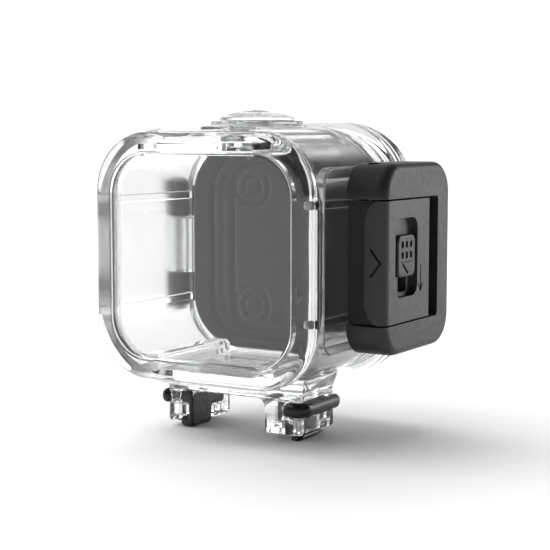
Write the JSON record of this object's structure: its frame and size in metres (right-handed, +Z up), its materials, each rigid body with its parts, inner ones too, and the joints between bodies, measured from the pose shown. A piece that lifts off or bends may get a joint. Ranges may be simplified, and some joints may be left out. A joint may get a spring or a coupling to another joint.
{
  "type": "waterproof action camera housing",
  "caption": "Clear waterproof housing for a cube action camera: flat front window, domed shutter button, hinged rear door, side draw latch with slide lock, and mounting shoe.",
  "frame": {"origin": "middle of the bounding box at ground level, on which the two foot inserts stand", "axes": "+Z up, -Y towards the front window, +X towards the latch, so that the hinge is at -X"},
  "size_m": [0.0602, 0.038, 0.0572],
  "materials": {
    "clear_shell": "injection-moulded polycarbonate, glossy on the bezel and flange, fine satin on the side walls",
    "window_pane": "polished flat pane",
    "clear_button": "polished clear dome",
    "clear_seal": "translucent silicone",
    "grey_silicone": "matt dark grey moulded silicone",
    "black_rubber": "satin moulded rubber",
    "dark_plastic": "fine-grained warm dark grey plastic",
    "steel": "ground stainless steel"
  },
  "bodies": {
    "housing": {"housing_body": "clear_shell", "front_window": "window_pane", "window_gasket": "clear_seal", "foot_insert_left": "black_rubber", "foot_insert_right": "black_rubber", "lever_pivot_pin": "steel", "hinge_pin": "steel", "button_spring": "steel"},
    "button": {"shutter_button": "clear_button", "button_o_ring": "black_rubber", "button_clip": "steel", "plunger_tip": "black_rubber"},
    "door": {"rear_door": "clear_shell", "door_pad": "grey_silicone", "door_seal": "clear_seal", "hinge_arm_upper": "dark_plastic", "hinge_arm_lower": "dark_plastic", "hinge_screw_upper": "steel", "hinge_screw_lower": "steel"},
    "lever": {"latch_lever": "dark_plastic"},
    "bail": {"latch_bail": "dark_plastic", "bail_pivot_pin": "steel"},
    "lock": {"lock_slider": "dark_plastic", "lock_plate": "dark_plastic", "lock_screw": "steel"}
  },
  "joints": [
    {"name": "door_hinge", "type": "hinge", "parent": "housing", "child": "door", "pos_m": [-0.0272, 0.014, 0.0312], "axis": [0, 0, 1], "range_deg": [0, 110]},
    {"name": "latch_lever_hinge", "type": "hinge", "parent": "housing", "child": "lever", "pos_m": [0.0254, 0.0066, 0.0316], "axis": [0, 0, 1], "range_deg": [0, 75]},
    {"name": "latch_bail_hinge", "type": "hinge", "parent": "lever", "child": "bail", "pos_m": [0.0256, -0.0034, 0.0319], "axis": [0, 0, 1], "range_deg": [-75, 0]},
    {"name": "lock_slide", "type": "slide", "parent": "lever", "child": "lock", "axis": [0, 0, -1], "range_m": [0, 0.0032]},
    {"name": "button_press", "type": "slide", "parent": "housing", "child": "button", "axis": [0, 0, -1], "range_m": [0, 0.0015], "stiffness_N_per_m": 600, "deforming": ["button_spring"]}
  ],
  "couplings": [
    {"joint": "latch_bail_hinge", "follows": "latch_lever_hinge", "ratio": -1}
  ]
}
